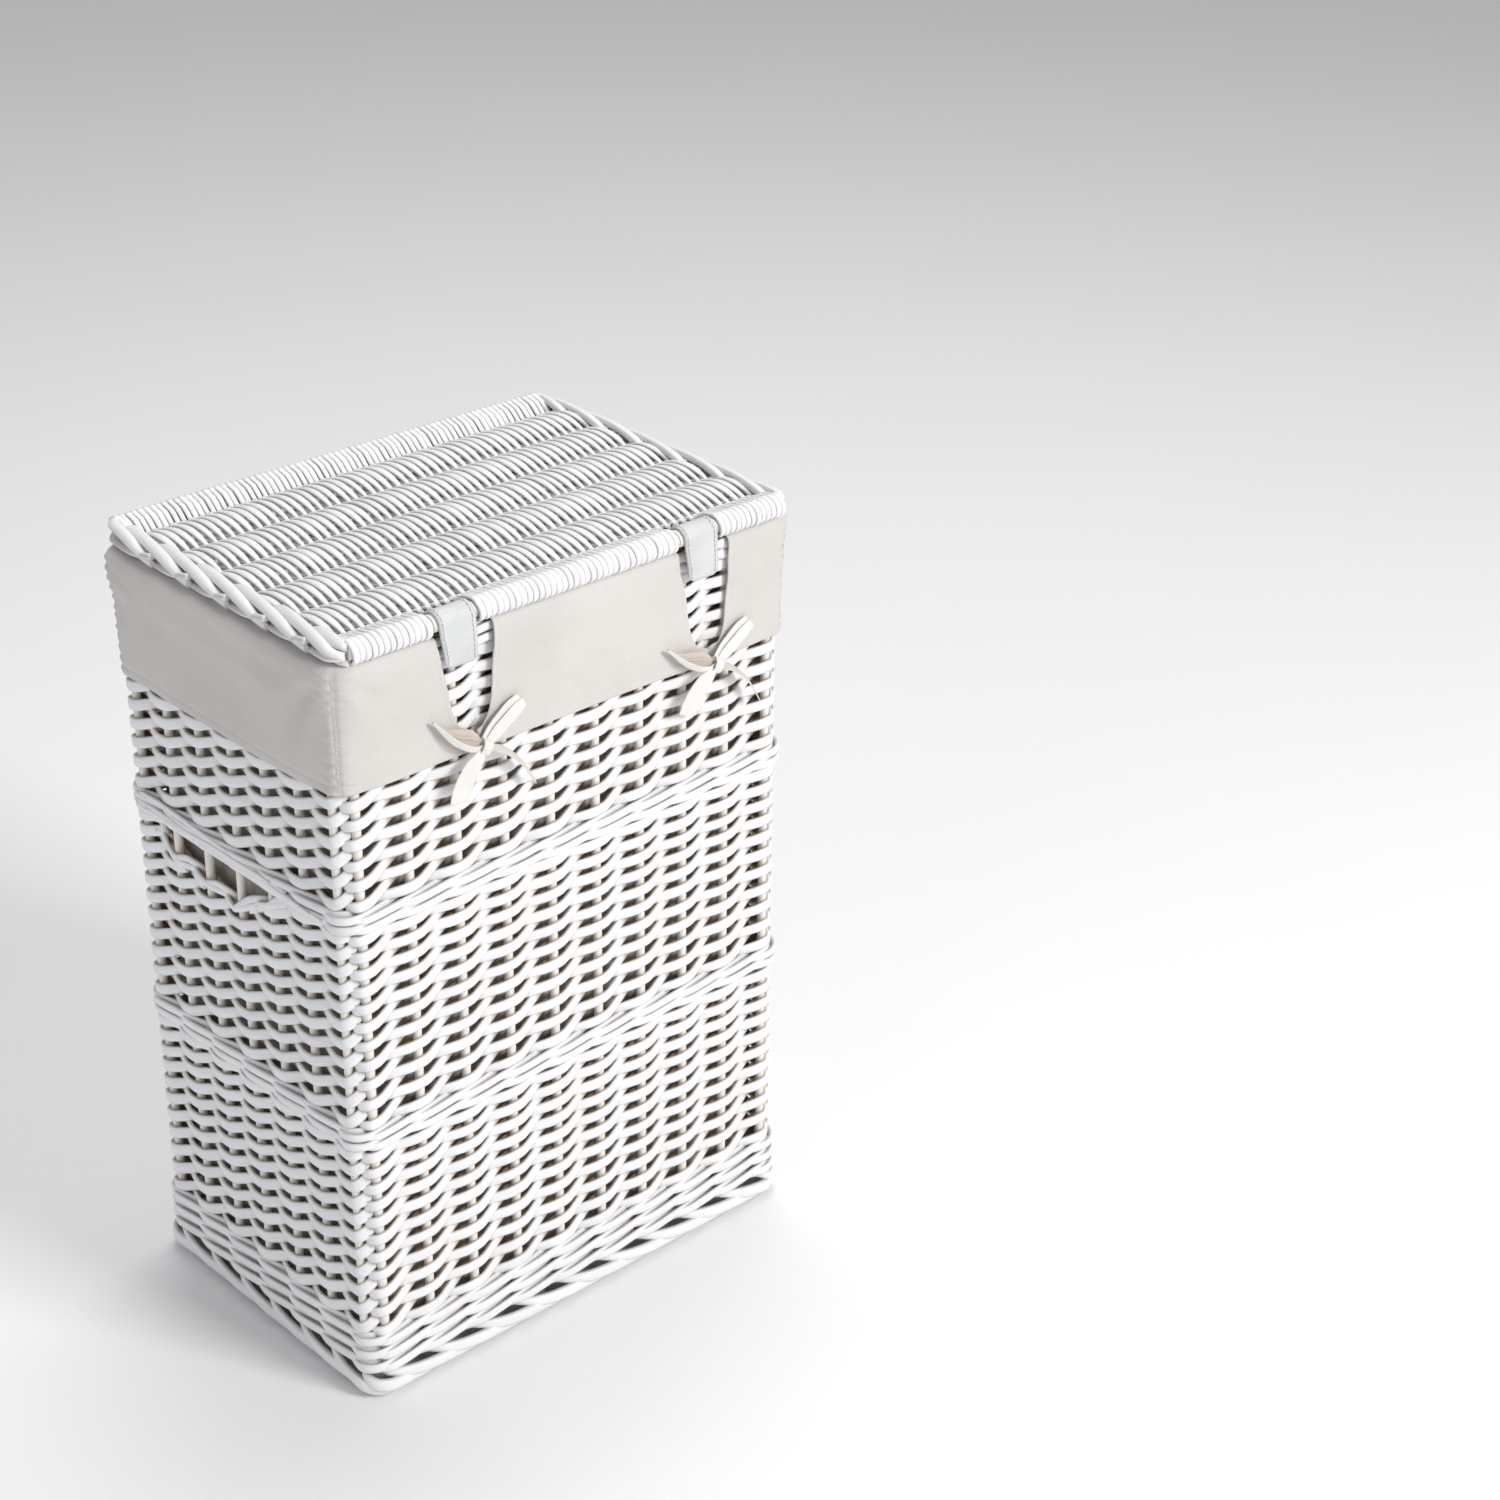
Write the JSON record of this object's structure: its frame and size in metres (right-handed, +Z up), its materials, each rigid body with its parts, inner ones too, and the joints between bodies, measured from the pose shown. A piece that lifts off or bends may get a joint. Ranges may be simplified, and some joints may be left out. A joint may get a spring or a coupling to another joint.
{
  "type": "laundry basket",
  "caption": "Tall rectangular woven wicker laundry basket with a strap-hinged lid, side finger slots and a cotton liner folded over the rim.",
  "frame": {"origin": "centre of the footprint, on the underside of the foot", "axes": "+Z up, +X along the long side, the strap hinges on the -Y side"},
  "size_m": [0.36, 0.253, 0.532],
  "materials": {
    "white_wicker": "white painted willow, satin",
    "liner_cotton": "plain woven cotton",
    "strap_leatherette": "smooth pale leatherette",
    "edge_binding": "pale willow binding"
  },
  "bodies": {
    "basket": {"base_sticks": "white_wicker", "base_wale": "white_wicker", "base_weave": "white_wicker", "foot_border": "white_wicker", "handle_sill_left": "white_wicker", "handle_sill_right": "white_wicker", "hinge_strap_left": "strap_leatherette", "hinge_strap_right": "strap_leatherette", "liner_bag": "liner_cotton", "liner_skirt": "liner_cotton", "rim_border": "white_wicker", "stakes_back": "white_wicker", "stakes_front": "white_wicker", "stakes_left": "white_wicker", "stakes_right": "white_wicker", "tie_left": "liner_cotton", "tie_right": "liner_cotton", "wale_lower": "white_wicker", "wale_upper": "white_wicker", "weave_lower_back": "white_wicker", "weave_lower_front": "white_wicker", "weave_lower_left": "white_wicker", "weave_lower_right": "white_wicker", "weave_middle_back": "white_wicker", "weave_middle_front": "white_wicker", "weave_middle_left": "white_wicker", "weave_middle_right": "white_wicker", "weave_upper_back": "white_wicker", "weave_upper_front": "white_wicker", "weave_upper_left": "white_wicker", "weave_upper_right": "white_wicker"},
    "lid": {"lid_binding_left": "edge_binding", "lid_binding_right": "edge_binding", "lid_border_left": "white_wicker", "lid_border_right": "white_wicker", "lid_ribs": "white_wicker", "lid_rod_back": "white_wicker", "lid_rod_front": "white_wicker", "lid_weave": "white_wicker", "lid_wrap_back": "white_wicker", "lid_wrap_front_left": "white_wicker", "lid_wrap_front_middle": "white_wicker", "lid_wrap_front_right": "white_wicker"}
  },
  "joints": [
    {"name": "lid_hinge", "type": "hinge", "parent": "basket", "child": "lid", "pos_m": [0, -0.1185, 0.524], "axis": [1, 0, 0], "range_deg": [0, 105]}
  ]
}
